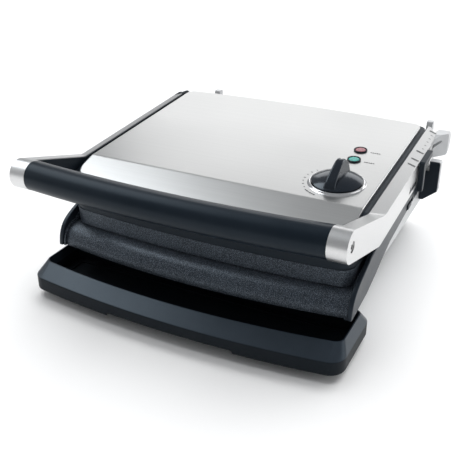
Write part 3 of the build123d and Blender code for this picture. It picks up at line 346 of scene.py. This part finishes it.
def add_marks(name, body, bars):
    """One piece of ink from bars, each (centre, along, sideways, length, width), on one body."""
    points = []
    faces = []
    for centre, along, sideways, length, width in bars:
        lift = along.cross(sideways) * INK_THICKNESS
        outline = []
        for end in (1, -1):
            for step in range(ROUND_END_STEPS + 1):
                angle = math.pi * (step / ROUND_END_STEPS - 0.5)
                reach = end * (length / 2 - width / 2 + width / 2 * math.cos(angle))
                outline.append(along * reach + sideways * end * (width / 2) * math.sin(angle))
        start = len(points)
        count = len(outline)
        points += [centre + p for p in outline]
        points += [centre + p * INK_TOP_SCALE + lift for p in outline]
        faces.append([start + count + i for i in range(count)])
        for i in range(count):
            after = (i + 1) % count
            faces.append([start + i, start + after, start + count + after, start + count + i])
    mesh = bpy.data.meshes.new(name)
    mesh.from_pydata([tuple(p) for p in points], [], faces)
    mesh.update()
    marks = bpy.data.objects.new(name, mesh)
    bpy.context.scene.collection.objects.link(marks)
    mesh.materials.append(MATERIALS["ink"])
    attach(marks, body)


def round_dial(degrees, radius):
    """Point on the lid this far round the dial, and the directions outwards and along the circle there."""
    angle = math.radians(degrees)
    outward = Vector((1, 0, 0)) * math.cos(angle) + UP_THE_DECK * math.sin(angle)
    sideways = DECK_NORMAL.cross(outward)
    return on_deck(*DIAL, LID_RISE + INK_GAP) + outward * radius, outward, sideways


def dial_bars():
    """Ticks round the dial's left side, and a row of short strokes near its front end."""
    bars = []
    for number, degrees in enumerate(TICK_ANGLES):
        centre, outward, sideways = round_dial(degrees, TICK_CIRCLE)
        bars.append((centre, outward, sideways, TICK_LENGTHS[number % 2], TICK_WIDTH))
    for number, degrees in enumerate(STROKE_ANGLES):
        centre, outward, sideways = round_dial(degrees, STROKE_CIRCLE)
        bars.append((centre, sideways, -outward, STROKE_LENGTH, STROKE_WIDTHS[number % 2]))
    return bars


def lamp_bars():
    """A row of short strokes beside each lamp."""
    start_x, start_run = LAMP_ROW_START
    bars = []
    for x, run in LAMPS.values():
        for number in range(LAMP_ROW_COUNT):
            centre = on_deck(x + start_x + number * LAMP_ROW_STEP, run + start_run, LID_RISE + INK_GAP)
            width = LAMP_STROKE_WIDTHS[number % 2]
            bars.append((centre, Vector((1, 0, 0)), UP_THE_DECK, LAMP_STROKE_LENGTH, width))
    return bars


def arm_bars():
    """Height scale along the right arm's sloping top."""
    edge_x, edge_rise = ARM_EDGE
    across, down = ARM_FALL
    slope = Vector((across, 0, 0)) - DECK_NORMAL * down
    outward = slope.normalized()
    gap = outward.cross(UP_THE_DECK) * INK_GAP
    bars = []
    for run in LONG_BAR_RUNS:
        for offset in (-LONG_BAR_OFFSET, LONG_BAR_OFFSET):
            centre = on_deck(edge_x, run + offset, edge_rise) + slope * LONG_BAR_SHARE + gap
            bars.append((centre, outward, UP_THE_DECK, *LONG_BAR_SIZE))
    for run in SHORT_BAR_RUNS:
        centre = on_deck(edge_x, run, edge_rise) + slope * SHORT_BAR_SHARE + gap
        bars.append((centre, outward, UP_THE_DECK, *SHORT_BAR_SIZE))
    return bars


add_marks("dial_ticks", "head", dial_bars())
add_marks("lamp_marks", "head", lamp_bars())
add_marks("arm_scale", "arms", arm_bars())


# ---------------------------------------------------------------- stage, lights, camera

def add_floor():
    """Wide, nearly white floor under the press."""
    bpy.ops.mesh.primitive_plane_add(size=FLOOR_SIZE, location=(0, 0, 0))
    floor = bpy.context.object
    floor.name = "floor"
    s = Shader("floor")
    s.feed("Base Color", s.mixed(s.noise(3, 3, 0.5), (0.91, 0.91, 0.91), (0.94, 0.94, 0.94)))
    s.feed("Roughness", 0.55)
    floor.data.materials.append(s.material)


def add_softbox(name, place, width, height, radiance, tint=(1, 1, 1)):
    """Area light turned to LIGHTS_AIM, which looks this bright from everywhere in front of it."""
    light = bpy.data.lights.new(name, "AREA")
    light.shape = "RECTANGLE"
    light.size = width
    light.size_y = height
    light.energy = radiance * math.pi * width * height
    light.color = tint
    lamp = bpy.data.objects.new(name, light)
    bpy.context.scene.collection.objects.link(lamp)
    lamp.location = place
    lamp.rotation_euler = (LIGHTS_AIM - Vector(place)).to_track_quat("-Z", "Y").to_euler()
    return lamp


def add_floor_lamp(name, direction, strength, spread):
    """Very soft sun from above and behind that lights the floor but leaves no highlight."""
    light = bpy.data.lights.new(name, "SUN")
    light.energy = strength
    light.angle = math.radians(spread)
    lamp = bpy.data.objects.new(name, light)
    bpy.context.scene.collection.objects.link(lamp)
    lamp.rotation_euler = Vector(direction).to_track_quat("-Z", "Y").to_euler()
    lamp.visible_glossy = False


add_floor()
add_softbox("rear_box", (-0.6, 3.2, 1.55), width=3.6, height=1.3, radiance=1.42)
add_softbox("rim_box", (2.0, 3.0, 1.0), width=1.2, height=1.4, radiance=2.6)
left_key = add_softbox(
    "left_key", (-1.9, 0.0, 2.5), width=2.4, height=1.4, radiance=3.3, tint=(0.93, 0.97, 1))
left_key.visible_diffuse = False
add_softbox("right_box", (2.6, 0.4, 1.0), width=2.0, height=1.2, radiance=1.0)
add_softbox("left_box", (-2.6, -0.8, 1.0), width=1.6, height=1.0, radiance=1.5)
add_floor_lamp("floor_lamp", (0.03, -0.38, -0.92), strength=3.05, spread=76)

world = bpy.data.worlds.new("studio")
bpy.context.scene.world = world
world.use_nodes = True
background = world.node_tree.nodes["Background"]
background.inputs["Color"].default_value = WORLD_COLOUR
background.inputs["Strength"].default_value = WORLD_STRENGTH

camera_data = bpy.data.cameras.new("camera")
camera_data.sensor_width = CAMERA_SENSOR
camera_data.lens = CAMERA_LENS
camera = bpy.data.objects.new("camera", camera_data)
bpy.context.scene.collection.objects.link(camera)
bpy.context.scene.camera = camera
turn = Matrix.Rotation(math.radians(CAMERA_AZIMUTH), 4, "Z")
turn = turn @ Matrix.Rotation(math.radians(90 - CAMERA_ELEVATION), 4, "X")
turn = turn @ Matrix.Rotation(math.radians(CAMERA_ROLL), 4, "Z")
camera.matrix_world = Matrix.Translation(CAMERA_PLACE) @ turn

bpy.context.scene.view_settings.view_transform = "Standard"

bpy.context.view_layer.update()
